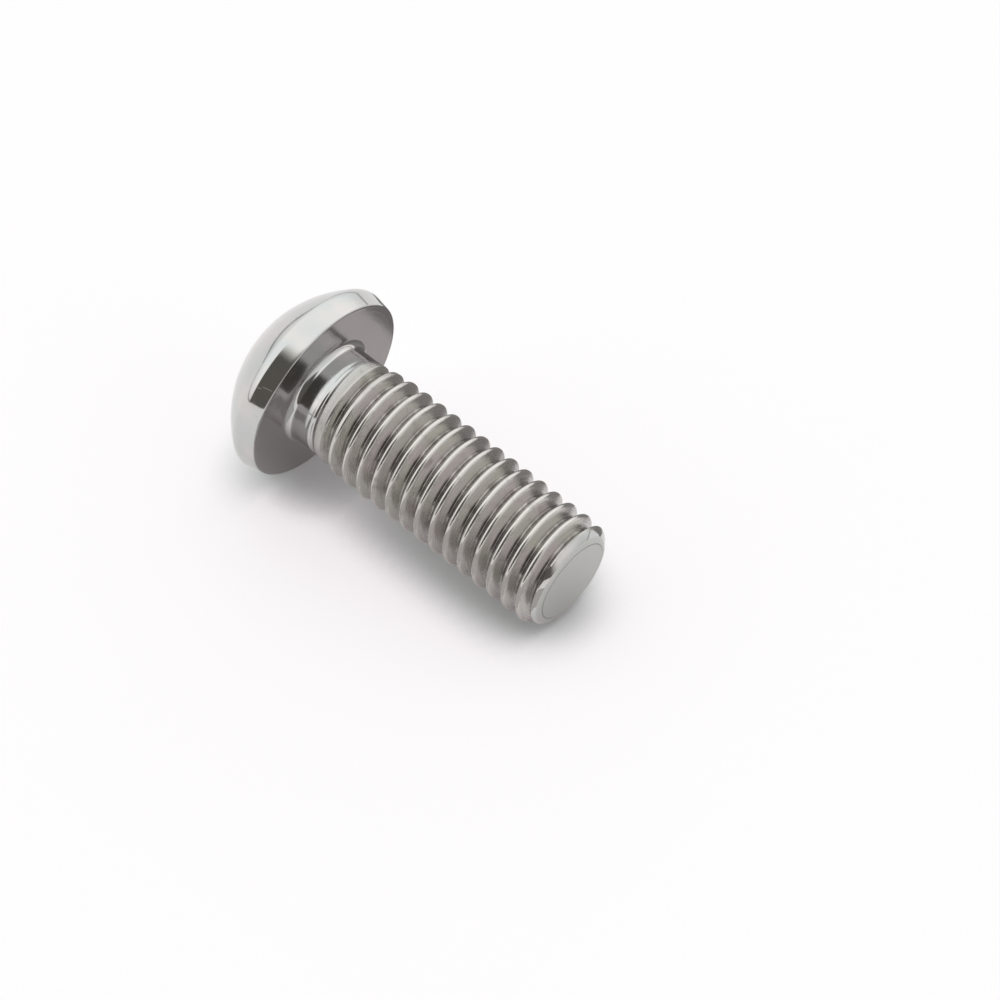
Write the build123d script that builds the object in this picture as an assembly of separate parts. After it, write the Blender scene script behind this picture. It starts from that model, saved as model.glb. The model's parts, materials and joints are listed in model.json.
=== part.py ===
from build123d import *
import math
import os

# Button head screw with a hexagon socket and an M8 coarse thread, in millimetres and degrees.
# It is built along Z, with the bearing face of the head at Z 0, the dome below it and the
# point above. At the end it is laid down as it comes to rest, on its rim and its last crest.

# Head
head_diameter = 14.0
dome_height = 5.27
rim_height = 1.25
rim_radius = 0.9
rim_draft = 12
bearing_edge_bevel = 0.12

# Socket
socket_width = 5.0
socket_depth = 3.2
mouth_diameter = 6.8
mouth_angle = 45

# Neck between the head and the thread
neck_relief = 0.35
neck_length = 1.6
neck_bevel = 0.4

# Thread
major_diameter = 7.9
pitch = 1.25
crest_width = 0.24
flank_angle = 30
crest_rise_length = 3.4
runout_turns = 0.8
first_groove_angle = 44

# Length under the head, and the point
screw_length = 21.6
point_length = 0.95
point_width = 1.05
point_bulge = 0.22

# Radii, the slope of the flanks and the depth of the thread
head_r = head_diameter / 2
mouth_r = mouth_diameter / 2
major_r = major_diameter / 2
neck_r = major_r - neck_relief
flank_slope = math.tan(math.radians(flank_angle))
thread_depth = (pitch - crest_width) / (2 * flank_slope)
root_r = major_r - thread_depth

# Levels along the axis
full_crest = neck_length + crest_rise_length
thread_start = neck_length + runout_turns * pitch
last_crest = screw_length - point_length

# The bevel of the point has a corner that stands proud of its straight line, square to it.
point_r = major_r - point_width
bevel_line = math.hypot(point_width, point_length)
bulge_r = major_r - point_width / 2 + point_bulge * point_length / bevel_line
bulge_level = screw_length - point_length / 2 + point_bulge * point_width / bevel_line

# The dome is a ball that runs into the rounded rim without a corner.
rim_centre_r = head_r - rim_radius
dome_above_rim = dome_height - rim_height
dome_r = ((rim_centre_r ** 2 + dome_above_rim ** 2 - rim_radius ** 2)
          / (2 * (dome_above_rim - rim_radius)))
dome_centre = dome_r - dome_height
dome_end = math.asin(rim_centre_r / (dome_r - rim_radius))

# Below its widest circle the rim draws in to the bearing face.
draft = math.radians(rim_draft)
draft_top_r = rim_centre_r + rim_radius * math.cos(draft)
draft_height = rim_height - rim_radius * math.sin(draft)
bearing_r = draft_top_r - draft_height * math.tan(draft)


def head_section():
    """Half section of the head, with the radius along X and the level along Y."""
    dome_top = (0, -dome_height)
    dome_join = (dome_r * math.sin(dome_end), dome_centre - dome_r * math.cos(dome_end))
    draft_top = (draft_top_r, -draft_height)
    bearing_edge = (bearing_r, 0)
    dome = RadiusArc(dome_top, dome_join, -dome_r)
    rim = RadiusArc(dome_join, draft_top, -rim_radius)
    inside = Polyline(draft_top, bearing_edge, (0, 0), dome_top)
    section = make_face([dome, rim, inside])
    edge = section.vertices().sort_by_distance(bearing_edge)[0]
    return chamfer(edge, bearing_edge_bevel)


def shank_section():
    """Half section of the neck, the blank that the thread is cut from, and the point."""
    outline = [
        (0, -rim_height),
        (neck_r + neck_bevel, -rim_height),
        (neck_r + neck_bevel, 0),
        (neck_r, neck_bevel),
        (neck_r, neck_length),
        (major_r, full_crest),
        (major_r, last_crest),
        (bulge_r, bulge_level),
        (point_r, screw_length),
        (0, screw_length),
    ]
    return make_face(Polyline(*outline, close=True))


def turned_blank():
    """The head and the shank in one piece."""
    head = revolve(Plane.XZ * head_section(), Axis.Z)
    shank = revolve(Plane.XZ * shank_section(), Axis.Z)
    return head + shank


def hexagon_socket():
    """The hexagonal recess with its flat floor, and the countersink round its mouth."""
    mouth_level = dome_centre - math.sqrt(dome_r ** 2 - mouth_r ** 2)
    floor = Plane((0, 0, mouth_level + socket_depth), z_dir=(0, 0, -1))
    hexagon = RegularPolygon(socket_width / 2, side_count=6, major_radius=False)
    recess = extrude(floor * hexagon, socket_depth + dome_height)
    cone_height = mouth_r / math.tan(math.radians(mouth_angle))
    countersink = Cone(2 * mouth_r, 0, 2 * cone_height)
    return recess + Pos(0, 0, mouth_level) * countersink


def groove_section(proud):
    """Section of the thread's groove, X outwards from its root, standing proud of the crests."""
    reach = thread_depth + proud
    half_width = reach * flank_slope
    corners = [(0, 0), (reach, -half_width), (reach, half_width)]
    return make_face(Polyline(*corners, close=True))


def threaded(blank):
    """Cuts the groove turn by turn, from the rising turn at the neck out past the point."""
    proud = 0.08
    turn_path = Helix(pitch, pitch, root_r)
    section_plane = Plane(turn_path @ 0, x_dir=(1, 0, 0), z_dir=turn_path % 0)
    section = section_plane * groove_section(proud)
    turn = sweep(section, turn_path, is_frenet=True)

    runout_length = runout_turns * pitch
    rise_angle = math.degrees(math.atan((neck_r - root_r + proud) / runout_length))
    rising_path = Helix(pitch, runout_length, root_r, cone_angle=rise_angle)
    rising_turn = sweep(section, Rot(180, 0, 0) * rising_path, is_frenet=True)

    start = Pos(0, 0, thread_start) * Rot(0, 0, first_groove_angle)
    screw = blank - start * rising_turn
    turn_count = math.ceil((screw_length + pitch / 2 - thread_start) / pitch)
    for index in range(turn_count):
        screw = screw - Pos(0, 0, index * pitch) * start * turn
    return screw


def at_rest(screw):
    """Lays the screw along X, its rim and its last crest on Z 0, over the origin."""
    reach = last_crest + rim_height
    crest_offset = rim_centre_r - major_r
    dip = (math.asin(rim_radius / math.hypot(reach, crest_offset))
           + math.atan2(crest_offset, reach))
    laid = Rot(0, 90 + math.degrees(dip), 0) * screw
    box = laid.bounding_box()
    return Pos(-box.center().X, -box.center().Y, -box.min.Z) * laid


button_head_screw = at_rest(threaded(turned_blank()) - hexagon_socket())
button_head_screw.label = "button_head_screw"

os.makedirs("parts", exist_ok=True)
export_step(button_head_screw, "parts/button_head_screw.step")
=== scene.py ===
import json
import math

import bmesh
import bpy
import numpy as np
from mathutils import Matrix, Vector


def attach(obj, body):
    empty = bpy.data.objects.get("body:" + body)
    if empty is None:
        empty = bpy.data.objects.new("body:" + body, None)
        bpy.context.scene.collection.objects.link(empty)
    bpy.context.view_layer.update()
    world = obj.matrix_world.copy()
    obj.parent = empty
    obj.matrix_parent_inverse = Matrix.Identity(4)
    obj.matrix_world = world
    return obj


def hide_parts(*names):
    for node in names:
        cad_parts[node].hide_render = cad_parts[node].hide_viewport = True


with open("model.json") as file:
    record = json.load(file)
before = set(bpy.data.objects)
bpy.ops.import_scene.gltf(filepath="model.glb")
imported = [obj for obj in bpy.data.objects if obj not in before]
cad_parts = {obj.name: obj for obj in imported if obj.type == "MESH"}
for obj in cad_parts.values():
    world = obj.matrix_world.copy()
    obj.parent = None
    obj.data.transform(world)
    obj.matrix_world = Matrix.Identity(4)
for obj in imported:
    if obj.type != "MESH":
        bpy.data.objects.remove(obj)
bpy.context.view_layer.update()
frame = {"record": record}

# The sizes of the screw, in metres and radians, as in the part's source. Here the edges that are
# bevelled there get the roundings of the real screw.
MM = 0.001
HEAD_R = 7.0 * MM
DOME_HEIGHT = 5.27 * MM
RIM_HEIGHT = 1.25 * MM
RIM_RADIUS = 0.9 * MM
RIM_DRAFT = math.radians(12)
BEARING_EDGE_RADIUS = 0.14 * MM
SOCKET_WIDTH = 5.0 * MM
SOCKET_DEPTH = 3.2 * MM
MOUTH_R = 3.4 * MM
NECK_R = 3.6 * MM
NECK_LENGTH = 1.6 * MM
NECK_FILLET = 0.5 * MM
MAJOR_R = 3.95 * MM
PITCH = 1.25 * MM
CREST_WIDTH = 0.24 * MM
CREST_SOFTNESS = 0.16 * MM
FLANK_ANGLE = math.radians(30)
ROOT_RADIUS = 0.15 * MM
CREST_RISE_LENGTH = 3.4 * MM
RUNOUT_TURNS = 0.8
RUNOUT_PROUD = 0.12 * MM
RUNOUT_LIMIT = 1.6
FIRST_GROOVE_ANGLE = math.radians(44)
LENGTH = 21.6 * MM
POINT_LENGTH = 0.95 * MM
POINT_R = 2.9 * MM
RING_R = 3.4 * MM
RING_DEPTH = 0.11 * MM
CORNER_R = 3.7 * MM
CORNER_DEPTH = 0.42 * MM
CORNER_SOFTNESS = 0.12 * MM

# How finely the mesh follows the screw. A multiple of 6 keeps the socket's corners on its columns.
# The rows of the thread lie at shares of a pitch on both sides of the groove's middle.
COLUMNS = 192
SIDE_ROWS = [0.05, 0.1, 0.15, 0.22, 0.3, 0.36, 0.395, 0.425, 0.455]
PITCH_ROWS = [-0.5] + [-share for share in reversed(SIDE_ROWS)] + [0.0] + SIDE_ROWS
DOME_RINGS = 26
RIM_RINGS = 12
BEARING_EDGE_RINGS = 6
FILLET_RINGS = 9
POINT_DEPTHS = [0.36, 0.3, 0.24, 0.18, 0.14, 0.11, 0.08, 0.04, 0.002]
WELD_DISTANCE = 0.002 * MM
SHORTEST_EDGE = 0.001 * MM
SHARP_ANGLE = math.radians(35)

# The studio: a white tent with an opening round the camera, as directions and light levels
OPENING_AZIMUTH = math.radians(-62)
OPENING_WIDTH = math.radians(82)
OPENING_TOP = math.radians(68)
OPENING_SHARP_SIDE = math.radians(4)
OPENING_SOFT_SIDE = math.radians(15)
OPENING_SOFT_TOP = math.radians(13)
OPENING_TINT = (1.0, 0.94, 0.86)
OPENING_LIGHT = 0.13
TENT_WHITE = (1.0, 1.0, 1.0)
WALL_LIGHT = 0.95
TENT_LIGHT = 1.25
TENT_LIGHT_FROM = math.radians(30)
SEAM_HEIGHT = math.radians(4)
SEAM_LIGHT = 0.35
SIDE_WALL = (0.90, 0.20, 0.39)
SIDE_STEP = (0.55, 0.85)
SIDE_LIGHT = 0.75

# The floor. The camera sees it lifted, so that its shadows are as light as in the photo, and
# darker where the screw covers it closely.
FLOOR_HALF = 1.5
FLOOR_PALE = (0.955, 0.94, 0.945)
FLOOR_SEEN = (0.34, 0.41, 0.39)
FLOOR_ROUGH = 0.9
FLOOR_SPECULAR = 0.2
LIFT_TINT = (1.0, 0.885, 0.925, 1)
SEEN_LIFT = 0.665
MIRRORED_LIFT = 0.06
CONTACT_REACH = 5 * MM
CONTACT_OPENNESS = (0.35, 0.9)
CONTACT_LIGHT = 0.25

# Grey cards that only reflections see, with corners in millimetres, which glow but light nothing:
# painted reflections. One stands behind the screw and puts a dark shape into the polished faces;
# one lies before it and one lies behind it, as painted shade of the floor in the reflections.
CARD_TINT = (1.0, 0.96, 0.95, 1)
STANDING_CARD = [(-12, 11, 0), (15, 11, 0), (15, 11, 8), (-12, 11, 8)]
STANDING_LIGHT = 0.27
FRONT_CARD = [(-5, -32, 0.1), (30, -32, 0.1), (30, -5.5, 0.1), (-5, -5.5, 0.1)]
FRONT_LIGHT = 0.52
BACK_CARD = [(-8, 7, 0.1), (4, 7, 0.1), (4, 11, 0.1), (-8, 11, 0.1)]
BACK_LIGHT = 0.66

# The photograph's camera, which has no roll: the place on the floor that it is aimed at, the
# direction from there back to it, its distance, and its lens in millimetres
CAMERA_AIM = Vector((2.50, 4.95, 0)) * MM
CAMERA_AZIMUTH = math.radians(-48.80)
CAMERA_ELEVATION = math.radians(46.96)
CAMERA_DISTANCE = 329.4 * MM
CAMERA_CLIP = 10 * MM
CAMERA_SENSOR = 36
CAMERA_LENS = 180

# Colours of the steel: polished head, flanks of the thread, crests, turned faces with painted
# shade on the bearing face, painted shade in the socket, round the end face and in the roots,
# brown stains, scratches
HEAD_COOL = (0.56, 0.58, 0.57)
HEAD_WARM = (0.64, 0.62, 0.60)
FLANK_GREEN = (0.535, 0.525, 0.490)
FLANK_PINK = (0.55, 0.52, 0.51)
CREST_BRIGHT = (0.64, 0.62, 0.59)
# The bearing face and the outer part of the neck's fillet get a darker grey: painted shade under
# the head.
BEARING_SHADE_GREY = (0.41, 0.39, 0.39)
END_GREY = (0.47, 0.48, 0.46)
# Darker grey inside the hex socket: painted shade in the recess.
SOCKET_SHADE_GREY = (0.40, 0.38, 0.38)
# A thin dark ring at the edge of the end face: painted shade.
END_SHADE_LINE = (0.16, 0.16, 0.15)
# Brown: painted shade in the thread's root, and stain spots on the flanks.
ROOT_SHADE_AND_STAIN_BROWN = (0.17, 0.15, 0.14)
SCRATCH_BRIGHT = (0.80, 0.79, 0.77)

# How much of a colour shows: painted shade in the root and stain spots on the flanks, from the
# least to the most covered place, the painted shade line round the end face, and scratches
ROOT_SHADE_SHARES = (0.25, 0.85)
SPOT_SHARES = (0, 0.25)
END_SHADE_LINE_SHARE = 0.75
SCRATCH_SHARE = 0.35

# Where the surfaces begin and end, as smooth steps from one level or radius in millimetres to
# another. Levels are counted from the bearing face towards the point.
SHANK_FROM = (0.3, 1.2)
THREAD_FROM = (1.6, 2.6)
THREAD_TO = (20.9, 21.3)
ROOT_INSIDE = (3.24, 3.36)
CREST_OUTSIDE = (3.80, 3.92)
BEARING_FROM = (-0.05, -0.01)
BEARING_TO = (0.1, 0.25)
BEARING_OUTSIDE = (3.75, 3.95)
END_FROM = (21.42, 21.54)
END_SHADE_LINE_OUTSIDE = (2.83, 2.90)
END_SHADE_LINE_INSIDE = (2.92, 2.99)
SOCKET_INSIDE = (3.3, 3.4)
SOCKET_BELOW = (-0.6, -0.9)

# Roughness of the surfaces, as the lowest and the highest where it varies
HEAD_ROUGH = (0.06, 0.10)
THREAD_ROUGH = (0.22, 0.34)
BEARING_ROUGH = (0.10, 0.26)
CREST_ROUGH = 0.15
END_ROUGH = 0.16
ROOT_ROUGH = 0.22
SOCKET_ROUGH = 0.22
SCRATCH_ROUGHER = 0.12

# Depths of the bumps in metres, and how much of the marks' depth each surface has
UNEVEN_DEPTH = 0.012 * MM
MARK_DEPTH = 0.0035 * MM
SCRATCH_DEPTH = 0.002 * MM
HEAD_MARKS = 0.35
THREAD_MARKS = 1.4
BEARING_MARKS = 1.0

# The patterns: how far the marks stretch along x, round the helix and along the screw, how the
# scratches are turned and stretched, and where each noise goes over from one side to the other
AROUND_STRETCH = 0.02
HELIX_SPREAD = 0.2
HELIX_STRETCH = 0.12
SCRATCH_TURN = (0.5, 0.3, 0.6)
SCRATCH_STRETCH = (16.0, 0.4, 0.5)
SCRATCH_STEP = (0.71, 0.78)
MARK_STEP = (0.3, 0.7)
CLOUD_STEP = (0.3, 0.7)
HEAD_TINT_STEP = (0.35, 0.65)
FLANK_TINT_STEP = (0.4, 0.6)
ROOT_SHADE_STEP = (0.3, 0.65)
SPOT_STEP = (0.56, 0.72)

THREAD_START = NECK_LENGTH + RUNOUT_TURNS * PITCH
V_DEPTH = (PITCH - CREST_WIDTH) / (2 * math.tan(FLANK_ANGLE))
V_BOTTOM_R = MAJOR_R - V_DEPTH
ANGLES = np.arange(COLUMNS) * 2 * math.pi / COLUMNS
GROOVE_SWING = (ANGLES - FIRST_GROOVE_ANGLE) / (2 * math.pi)


def soft_min(a, b, width):
    """The lower of two heights, with the corner where they cross rounded over that width."""
    near = np.clip(1 - np.abs(a - b) / width, 0, 1)
    return np.minimum(a, b) - near ** 2 * width / 4


def line(depth, first_r, first_depth, last_r, last_depth):
    """Radius at a depth on the straight line through two places of the point's section."""
    return first_r + (depth - first_depth) * (last_r - first_r) / (last_depth - first_depth)


def point_radius(level):
    """Radius of the point: a nearly flat ring, a bevel and a steep rise to the last crest."""
    depth = LENGTH - level
    ring = line(depth, POINT_R, 0, RING_R, RING_DEPTH)
    bevel = line(depth, RING_R, RING_DEPTH, CORNER_R, CORNER_DEPTH)
    steep = line(depth, CORNER_R, CORNER_DEPTH, MAJOR_R, POINT_LENGTH)
    return np.minimum(ring, soft_min(bevel, steep, CORNER_SOFTNESS))


def blank_radius(level):
    """Radius of the blank that the thread is rolled on: neck, slow rise to full crests, point."""
    rise = np.clip((level - NECK_LENGTH) / CREST_RISE_LENGTH, 0, 1)
    rise = rise - np.sin(2 * math.pi * rise) / (4 * math.pi)
    radius = NECK_R + (MAJOR_R - NECK_R) * rise
    return np.minimum(radius, point_radius(level))


def groove_radius(offset):
    """Radius of the thread's groove at a distance along the axis from its middle."""
    tangent = ROOT_RADIUS * math.cos(FLANK_ANGLE)
    flank = V_BOTTOM_R + np.abs(offset) / math.tan(FLANK_ANGLE)
    centre_r = V_BOTTOM_R + ROOT_RADIUS / math.sin(FLANK_ANGLE)
    inside = np.clip(ROOT_RADIUS ** 2 - offset ** 2, 0, None)
    return np.where(np.abs(offset) < tangent, centre_r - np.sqrt(inside), flank)


def shank_radius(level):
    """Radius of neck, thread and point at levels given column by column round the axis."""
    path = np.round((level - THREAD_START) / PITCH - GROOVE_SWING) + GROOVE_SWING
    rise = np.clip(-path / RUNOUT_TURNS, 0, RUNOUT_LIMIT) * (NECK_R + RUNOUT_PROUD - V_BOTTOM_R)
    groove = groove_radius(level - THREAD_START - path * PITCH) + rise
    return soft_min(blank_radius(level), groove, CREST_SOFTNESS)


def thread_rows():
    """Levels of the vertices from the neck to the point, in rows that follow the helix."""
    turns = np.arange(-3, math.ceil((LENGTH - THREAD_START) / PITCH) + 2)
    turn, share = (grid.ravel() for grid in np.meshgrid(turns, PITCH_ROWS, indexing="ij"))
    level = THREAD_START + (turn[:, None] + GROOVE_SWING[None, :] + share[:, None]) * PITCH
    return np.clip(level, NECK_FILLET, LENGTH - CORNER_DEPTH)


def between(first, last, shares):
    """Rings at shares of the way from one pair of radius and level to another."""
    return [(first[0] + (last[0] - first[0]) * share, first[1] + (last[1] - first[1]) * share)
            for share in shares]


def arc(centre, radius, start, end, count):
    """Rings along an arc of the half section. Its angles go from outwards towards the dome."""
    return [(centre[0] + radius * math.cos(a), centre[1] - radius * math.sin(a))
            for a in np.linspace(start, end, count)]


def head_rows():
    """Rings from the middle of the socket's floor out over the dome to the top of the neck."""
    rim_centre = (HEAD_R - RIM_RADIUS, -RIM_HEIGHT)
    above = DOME_HEIGHT - RIM_HEIGHT
    dome_r = (rim_centre[0] ** 2 + above ** 2 - RIM_RADIUS ** 2) / (2 * (above - RIM_RADIUS))
    dome_centre = dome_r - DOME_HEIGHT
    mouth_level = dome_centre - math.sqrt(dome_r ** 2 - MOUTH_R ** 2)
    floor_level = mouth_level + SOCKET_DEPTH

    # The hexagon's wall has its own radius in each column. The countersink meets it at 45 degrees.
    sixth = ANGLES % (math.pi / 3) - math.pi / 6
    wall = SOCKET_WIDTH / 2 / np.cos(sixth)
    wall_foot = (wall, floor_level)
    wall_top = (wall, mouth_level + MOUTH_R - wall)
    rings = between((0, floor_level), wall_foot, (0, 0.25, 0.5, 0.75, 0.9, 0.97))
    rings += between(wall_foot, wall_top, (0, 0.03, 0.25, 0.5, 0.75, 0.97, 1))
    rings += between(wall_top, (MOUTH_R, mouth_level), (0.06, 0.5, 0.94))

    # The dome runs into the rim, which draws in to the rounded edge of the bearing face.
    dome_start = math.acos(MOUTH_R / dome_r)
    dome_end = math.acos(rim_centre[0] / (dome_r - RIM_RADIUS))
    draft_top = (rim_centre[0] + RIM_RADIUS * math.cos(RIM_DRAFT),
                 rim_centre[1] + RIM_RADIUS * math.sin(RIM_DRAFT))
    corner_r = draft_top[0] + draft_top[1] * math.tan(RIM_DRAFT)
    edge_back = BEARING_EDGE_RADIUS * math.tan((math.pi / 2 - RIM_DRAFT) / 2)
    edge_centre = (corner_r - edge_back, -BEARING_EDGE_RADIUS)
    rings += arc((0, dome_centre), dome_r, dome_start, dome_end, DOME_RINGS)
    rings += arc(rim_centre, RIM_RADIUS, dome_end, -RIM_DRAFT, RIM_RINGS)[1:]
    rings += between(draft_top, (corner_r, 0), (0.35, 0.7))
    rings += arc(edge_centre, BEARING_EDGE_RADIUS, -RIM_DRAFT, -math.pi / 2, BEARING_EDGE_RINGS)

    # The bearing face and the fillet of the neck
    fillet_centre = (NECK_R + NECK_FILLET, NECK_FILLET)
    rings += between((edge_centre[0], 0), (fillet_centre[0], 0), (0.02, 0.3, 0.65, 0.97))
    rings += arc(fillet_centre, NECK_FILLET, math.pi / 2, math.pi, FILLET_RINGS)[:-1]
    return rings


def end_rows():
    """Rings from the bevel of the point to the middle of the end face."""
    levels = [LENGTH - depth * MM for depth in POINT_DEPTHS]
    rings = [(shank_radius(np.full(COLUMNS, level)), level) for level in levels]
    return rings + between((0, LENGTH), (POINT_R, LENGTH), (1, 0.985, 0.9, 0.6, 0.3, 0))


def as_grids(rings):
    """The radii and the levels of rings, each as rows with one value for each column."""
    return [[np.broadcast_to(ring[part], COLUMNS) for ring in rings] for part in (0, 1)]


def screw_mesh():
    """One closed mesh of the whole screw, along Z with its bearing face at the origin."""
    head_radius, head_level = as_grids(head_rows())
    end_radius, end_level = as_grids(end_rows())
    thread_level = thread_rows()
    radius = np.vstack([head_radius, shank_radius(thread_level), end_radius])
    level = np.vstack([head_level, thread_level, end_level])
    points = np.stack([radius * np.cos(ANGLES), radius * np.sin(ANGLES), level], axis=-1)

    # Past the last column a row of the thread goes on in the row one pitch further along.
    rows = len(radius)
    first, last = len(head_radius), rows - len(end_radius)
    joined = np.arange(rows)
    joined[first:last] = np.minimum(joined[first:last] + len(PITCH_ROWS), last - 1)
    index = np.arange(rows * COLUMNS).reshape(rows, COLUMNS)
    after = np.hstack([index[:, 1:], index[joined, :1]])
    corners = np.stack([index[:-1], after[:-1], after[1:], index[1:]], axis=-1)
    return points.reshape(-1, 3), corners.reshape(-1, 4)


def place_in_frame():
    """Matrix from the screw's own axis to the frame, read from the mount under the head."""
    mount = next(m for m in frame["record"]["mounts"] if m["name"] == "under_head")
    axis = Vector(mount["axis"]).normalized()
    across = Vector((0, 1, 0))
    down = across.cross(axis)
    origin = Vector((mount["pos_m"][0], 0, mount["pos_m"][2]))
    turn = Matrix((down, across, axis)).transposed()
    return Matrix.Translation(origin) @ turn.to_4x4()


def make_screw():
    """The screw as an object, welded, smooth and lying where the solid lies."""
    points, faces = screw_mesh()
    mesh = bpy.data.meshes.new("screw")
    mesh.from_pydata(points.tolist(), [], faces.tolist())
    screw = bpy.data.objects.new("screw", mesh)
    bpy.context.scene.collection.objects.link(screw)
    shape = bmesh.new()
    shape.from_mesh(mesh)
    bmesh.ops.remove_doubles(shape, verts=shape.verts, dist=WELD_DISTANCE)
    bmesh.ops.dissolve_degenerate(shape, edges=shape.edges, dist=SHORTEST_EDGE)
    bmesh.ops.recalc_face_normals(shape, faces=shape.faces)
    shape.to_mesh(mesh)
    shape.free()

    # The material needs each vertex's place on the upright screw, in millimetres.
    own = np.empty(len(mesh.vertices) * 3, np.float32)
    mesh.vertices.foreach_get("co", own)
    along = mesh.attributes.new("along_axis", "FLOAT_VECTOR", "POINT")
    along.data.foreach_set("vector", own / MM)
    mesh.transform(place_in_frame())
    mesh.shade_smooth()
    mesh.set_sharp_from_angle(angle=SHARP_ANGLE)
    return screw


def math_node(tree, operation, first, second=None, third=None):
    """A Math node whose inputs are numbers or the outputs of other nodes."""
    node = tree.nodes.new("ShaderNodeMath")
    node.operation = operation
    for socket, value in zip(node.inputs, (first, second, third)):
        if isinstance(value, (int, float)):
            socket.default_value = value
        elif value is not None:
            tree.links.new(value, socket)
    return node.outputs[0]


def times(tree, first, second):
    """The product of two values, each a number or the output of another node."""
    return math_node(tree, "MULTIPLY", first, second)


def ramp(tree, value, start, end, low=0.0, high=1.0):
    """A smooth step from low to high while the value goes from start to end."""
    node = tree.nodes.new("ShaderNodeMapRange")
    node.interpolation_type = "SMOOTHSTEP"
    tree.links.new(value, node.inputs["Value"])
    node.inputs["From Min"].default_value = start
    node.inputs["From Max"].default_value = end
    node.inputs["To Min"].default_value = low
    node.inputs["To Max"].default_value = high
    return node.outputs["Result"]


def fall(tree, value, start, end):
    """A smooth step from 1 to 0 while the value goes from start to end."""
    return ramp(tree, value, start, end, 1, 0)


def mix_colour(tree, share, first, second):
    """A Mix node between two colours, each a triple or the output of another node."""
    node = tree.nodes.new("ShaderNodeMix")
    node.data_type = "RGBA"
    tree.links.new(share, node.inputs["Factor"])
    for name, value in (("A", first), ("B", second)):
        socket = next(s for s in node.inputs if s.name == name and s.type == "RGBA")
        if isinstance(value, tuple):
            socket.default_value = (*value, 1)
        else:
            tree.links.new(value, socket)
    return next(s for s in node.outputs if s.type == "RGBA")


def mix_value(tree, share, first, second):
    """The first value, going over to the second one as the share goes from 0 to 1."""
    step = math_node(tree, "SUBTRACT", second, first)
    return math_node(tree, "MULTIPLY_ADD", step, share, first)


def noise(tree, place, scale, detail, extra=None):
    """Noise from 0 to 1 at a place, with a fourth coordinate where one is given."""
    node = tree.nodes.new("ShaderNodeTexNoise")
    node.noise_dimensions = "3D" if extra is None else "4D"
    tree.links.new(place, node.inputs["Vector"])
    if extra is not None:
        tree.links.new(extra, node.inputs["W"])
    node.inputs["Scale"].default_value = scale
    node.inputs["Detail"].default_value = detail
    return node.outputs["Fac"]


def vector_of(tree, *values):
    """A vector from three outputs of other nodes."""
    node = tree.nodes.new("ShaderNodeCombineXYZ")
    for socket, value in zip(node.inputs, values):
        tree.links.new(value, socket)
    return node.outputs[0]


def bump(tree, height, depth, under=None):
    """A bump of that depth in metres, laid over another bump where one is given."""
    node = tree.nodes.new("ShaderNodeBump")
    tree.links.new(height, node.inputs["Height"])
    node.inputs["Distance"].default_value = depth
    if under is not None:
        tree.links.new(under, node.inputs["Normal"])
    return node.outputs[0]


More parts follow.
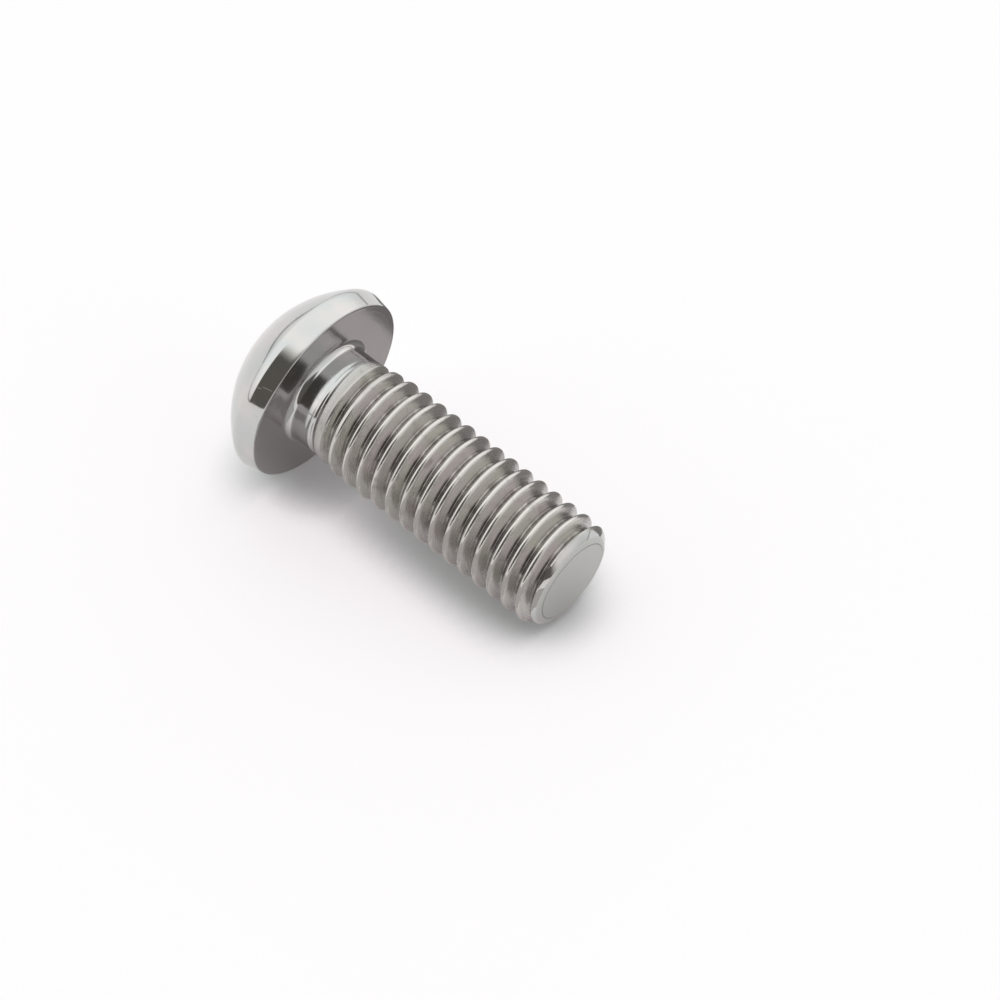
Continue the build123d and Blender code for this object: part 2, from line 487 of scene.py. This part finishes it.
def steel_material():
    """Stainless steel: polished head, turned bearing face, rolled and slightly dull thread."""
    material = bpy.data.materials.new("polished_steel")
    material.use_nodes = True
    tree = material.node_tree
    shader = tree.nodes["Principled BSDF"]
    shader.inputs["Metallic"].default_value = 1

    # The place on the screw in millimetres: distance from the axis, angle round it and level
    attribute = tree.nodes.new("ShaderNodeAttribute")
    attribute.attribute_name = "along_axis"
    place = attribute.outputs["Vector"]
    axes = tree.nodes.new("ShaderNodeSeparateXYZ")
    tree.links.new(place, axes.inputs[0])
    x, y, level = axes.outputs
    radius = math_node(tree, "SQRT", math_node(tree, "ADD", times(tree, x, x), times(tree, y, y)))
    angle = math_node(tree, "ARCTAN2", y, x)

    # Where each surface is, from 0 to 1
    on_shank = ramp(tree, level, *SHANK_FROM)
    on_thread = times(tree, ramp(tree, level, *THREAD_FROM), fall(tree, level, *THREAD_TO))
    in_root = times(tree, on_thread, fall(tree, radius, *ROOT_INSIDE))
    on_crest = times(tree, on_thread, ramp(tree, radius, *CREST_OUTSIDE))
    on_bearing = times(tree, ramp(tree, level, *BEARING_FROM), fall(tree, level, *BEARING_TO))
    on_bearing = times(tree, on_bearing, ramp(tree, radius, *BEARING_OUTSIDE))
    on_end = ramp(tree, level, *END_FROM)
    # A thin dark ring at the end face's edge: painted shade.
    end_shade_line = times(tree, ramp(tree, radius, *END_SHADE_LINE_OUTSIDE),
                     fall(tree, radius, *END_SHADE_LINE_INSIDE))
    end_shade_line = times(tree, end_shade_line, times(tree, on_end, END_SHADE_LINE_SHARE))
    in_socket = times(tree, fall(tree, radius, *SOCKET_INSIDE), ramp(tree, level, *SOCKET_BELOW))

    # Turning marks run round the axis. On the shank they follow the helix of the thread.
    around = vector_of(tree, radius, level, times(tree, x, AROUND_STRETCH))
    turned = noise(tree, around, scale=7, detail=4)
    phase = math_node(tree, "SUBTRACT", times(tree, level, 2 * math.pi * MM / PITCH), angle)
    helical = vector_of(tree, radius,
                        times(tree, math_node(tree, "COSINE", phase), HELIX_SPREAD),
                        times(tree, math_node(tree, "SINE", phase), HELIX_SPREAD))
    rolled = noise(tree, helical, scale=9, detail=4, extra=times(tree, level, HELIX_STRETCH))
    marks = mix_value(tree, on_shank, turned, rolled)
    mark_share = ramp(tree, marks, *MARK_STEP)

    # Slow unevenness of the formed surface, its tints, the spread of its stains and of the painted
    # root shade, and fine scratches
    uneven = noise(tree, place, scale=0.45, detail=1.5)
    tint = noise(tree, place, scale=0.28, detail=2)
    stain_and_shade = noise(tree, place, scale=1.1, detail=4)
    cloud = noise(tree, place, scale=2.2, detail=5)
    stretched = tree.nodes.new("ShaderNodeMapping")
    stretched.inputs["Rotation"].default_value = SCRATCH_TURN
    stretched.inputs["Scale"].default_value = SCRATCH_STRETCH
    tree.links.new(place, stretched.inputs["Vector"])
    scratch = ramp(tree, noise(tree, stretched.outputs[0], scale=1.3, detail=1), *SCRATCH_STEP)
    scratch_share = times(tree, scratch, SCRATCH_SHARE)

    # Colour: bright where it is polished, greyer on the flanks, brown and dark painted shade in
    # the root
    polished = mix_colour(tree, ramp(tree, tint, *HEAD_TINT_STEP), HEAD_COOL, HEAD_WARM)
    flank = mix_colour(tree, ramp(tree, tint, *FLANK_TINT_STEP), FLANK_GREEN, FLANK_PINK)
    # Painted shade in the root, uneven along it; brown stain spots on the flanks.
    root_shade = times(tree, in_root, ramp(tree, stain_and_shade, *ROOT_SHADE_STEP, *ROOT_SHADE_SHARES))
    spots = times(tree, on_thread, ramp(tree, stain_and_shade, *SPOT_STEP, *SPOT_SHARES))
    colour = mix_colour(tree, on_thread, polished, flank)
    # Painted shade: the bearing face's grey, the socket's grey, the ring round the end face and
    # the root's brown. The spots are stains.
    for share, layer in ((on_bearing, BEARING_SHADE_GREY), (on_end, END_GREY), (end_shade_line, END_SHADE_LINE),
                         (in_socket, SOCKET_SHADE_GREY), (on_crest, CREST_BRIGHT), (root_shade, ROOT_SHADE_AND_STAIN_BROWN),
                         (spots, ROOT_SHADE_AND_STAIN_BROWN), (scratch_share, SCRATCH_BRIGHT)):
        colour = mix_colour(tree, share, colour, layer)
    tree.links.new(colour, shader.inputs["Base Color"])

    # Roughness
    rough = mix_value(tree, ramp(tree, cloud, *CLOUD_STEP), *HEAD_ROUGH)
    thread_rough = mix_value(tree, mark_share, *THREAD_ROUGH)
    bearing_rough = mix_value(tree, mark_share, *BEARING_ROUGH)
    for share, layer in ((on_thread, thread_rough), (on_crest, CREST_ROUGH),
                         (on_bearing, bearing_rough), (on_end, END_ROUGH), (in_root, ROOT_ROUGH),
                         (in_socket, SOCKET_ROUGH)):
        rough = mix_value(tree, share, rough, layer)
    rough = math_node(tree, "ADD", rough, times(tree, scratch, SCRATCH_ROUGHER))
    tree.links.new(rough, shader.inputs["Roughness"])

    # Bump: slow unevenness, marks that are deeper on the turned and rolled faces, scratches
    wavy = bump(tree, uneven, UNEVEN_DEPTH)
    share = mix_value(tree, on_thread, HEAD_MARKS, THREAD_MARKS)
    share = mix_value(tree, on_bearing, share, BEARING_MARKS)
    lined = bump(tree, times(tree, marks, share), MARK_DEPTH, wavy)
    scratched = bump(tree, times(tree, scratch, -1), SCRATCH_DEPTH, lined)
    tree.links.new(scratched, shader.inputs["Normal"])
    return material


def flat_object(name, corners):
    """An object that is one flat face with its corners in metres."""
    mesh = bpy.data.meshes.new(name)
    mesh.from_pydata(corners, [], [(0, 1, 2, 3)])
    flat = bpy.data.objects.new(name, mesh)
    bpy.context.scene.collection.objects.link(flat)
    material = bpy.data.materials.new(name)
    material.use_nodes = True
    mesh.materials.append(material)
    return flat, material.node_tree


def make_floor():
    """The pale floor, lifted for the camera but not close to the screw."""
    half = FLOOR_HALF
    corners = [(-half, -half, 0), (half, -half, 0), (half, half, 0), (-half, half, 0)]
    floor, tree = flat_object("floor", corners)
    shader = tree.nodes["Principled BSDF"]
    rays = tree.nodes.new("ShaderNodeLightPath")
    seen = rays.outputs["Is Camera Ray"]
    tree.links.new(mix_colour(tree, seen, FLOOR_PALE, FLOOR_SEEN), shader.inputs["Base Color"])
    shader.inputs["Roughness"].default_value = FLOOR_ROUGH
    shader.inputs["Specular IOR Level"].default_value = FLOOR_SPECULAR

    # Ambient occlusion takes the camera's lift away close to the screw: a painted contact shadow.
    openness = tree.nodes.new("ShaderNodeAmbientOcclusion")
    openness.inputs["Distance"].default_value = CONTACT_REACH
    contact = ramp(tree, openness.outputs["AO"], *CONTACT_OPENNESS, CONTACT_LIGHT, 1)
    seen_lift = times(tree, contact, times(tree, seen, SEEN_LIFT))
    mirrored_lift = times(tree, rays.outputs["Is Glossy Ray"], MIRRORED_LIFT)
    lift = math_node(tree, "ADD", seen_lift, mirrored_lift)
    shader.inputs["Emission Color"].default_value = LIFT_TINT
    tree.links.new(lift, shader.inputs["Emission Strength"])


def make_card(name, corners, light):
    """A glowing grey card with its corners in millimetres, which only reflections see: a painted
    reflection.
    """
    card, tree = flat_object(name, [tuple(Vector(corner) * MM) for corner in corners])
    shader = tree.nodes["Principled BSDF"]
    shader.inputs["Base Color"].default_value = (0, 0, 0, 1)
    shader.inputs["Specular IOR Level"].default_value = 0
    shader.inputs["Emission Color"].default_value = CARD_TINT
    shader.inputs["Emission Strength"].default_value = light
    card.visible_camera = False
    card.visible_diffuse = False
    card.visible_shadow = False


def set_world():
    """A white tent lit all round, with the dark opening that the photograph is taken through."""
    world = bpy.data.worlds.new("studio")
    bpy.context.scene.world = world
    world.use_nodes = True
    tree = world.node_tree
    background = tree.nodes["Background"]
    place = tree.nodes.new("ShaderNodeTexCoord").outputs["Generated"]
    turned = tree.nodes.new("ShaderNodeVectorRotate")
    turned.rotation_type = "Z_AXIS"
    turned.inputs["Angle"].default_value = -OPENING_AZIMUTH
    tree.links.new(place, turned.inputs["Vector"])
    axes = tree.nodes.new("ShaderNodeSeparateXYZ")
    tree.links.new(turned.outputs[0], axes.inputs[0])
    x, y, z = axes.outputs
    azimuth = math_node(tree, "ARCTAN2", y, x)
    elevation = math_node(tree, "ARCSINE", z)

    # The opening has a sharp side, a soft side and a soft top.
    half = OPENING_WIDTH / 2
    sharp_side = ramp(tree, azimuth, -half - OPENING_SHARP_SIDE, -half + OPENING_SHARP_SIDE)
    soft_side = fall(tree, azimuth, half - OPENING_SOFT_SIDE, half + OPENING_SOFT_SIDE)
    inside_height = fall(tree, elevation, OPENING_TOP - OPENING_SOFT_TOP,
                         OPENING_TOP + OPENING_SOFT_TOP / 2)
    opening = times(tree, times(tree, sharp_side, soft_side), inside_height)
    colour = mix_colour(tree, opening, TENT_WHITE, OPENING_TINT)
    tree.links.new(colour, background.inputs["Color"])

    # The tent is darker at its seam with the floor and on one side.
    tent = ramp(tree, elevation, 0, TENT_LIGHT_FROM, WALL_LIGHT, TENT_LIGHT)
    tent = times(tree, tent, ramp(tree, elevation, 0, SEAM_HEIGHT, SEAM_LIGHT, 1))
    towards = tree.nodes.new("ShaderNodeVectorMath")
    towards.operation = "DOT_PRODUCT"
    tree.links.new(place, towards.inputs[0])
    towards.inputs[1].default_value = SIDE_WALL
    tent = times(tree, tent, ramp(tree, towards.outputs["Value"], *SIDE_STEP, 1, SIDE_LIGHT))
    light = math_node(tree, "MULTIPLY_ADD", opening, OPENING_LIGHT - TENT_LIGHT, tent)
    light = math_node(tree, "MAXIMUM", light, OPENING_LIGHT)
    tree.links.new(light, background.inputs["Strength"])


def set_camera():
    """The photograph's camera."""
    back = Vector((math.cos(CAMERA_ELEVATION) * math.cos(CAMERA_AZIMUTH),
                   math.cos(CAMERA_ELEVATION) * math.sin(CAMERA_AZIMUTH),
                   math.sin(CAMERA_ELEVATION)))
    camera = bpy.data.objects.new("camera", bpy.data.cameras.new("camera"))
    bpy.context.scene.collection.objects.link(camera)
    camera.location = CAMERA_AIM + back * CAMERA_DISTANCE
    camera.rotation_euler = back.to_track_quat("Z", "Y").to_euler()
    camera.data.sensor_width = CAMERA_SENSOR
    camera.data.lens = CAMERA_LENS
    camera.data.clip_start = CAMERA_CLIP
    bpy.context.scene.camera = camera


screw = make_screw()
screw.data.materials.append(steel_material())
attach(screw, "root")
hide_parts("button_head_screw")
make_floor()
make_card("standing_card", STANDING_CARD, STANDING_LIGHT)
make_card("front_card", FRONT_CARD, FRONT_LIGHT)
make_card("back_card", BACK_CARD, BACK_LIGHT)
set_world()
set_camera()

view = bpy.context.scene.view_settings
view.view_transform = "Standard"
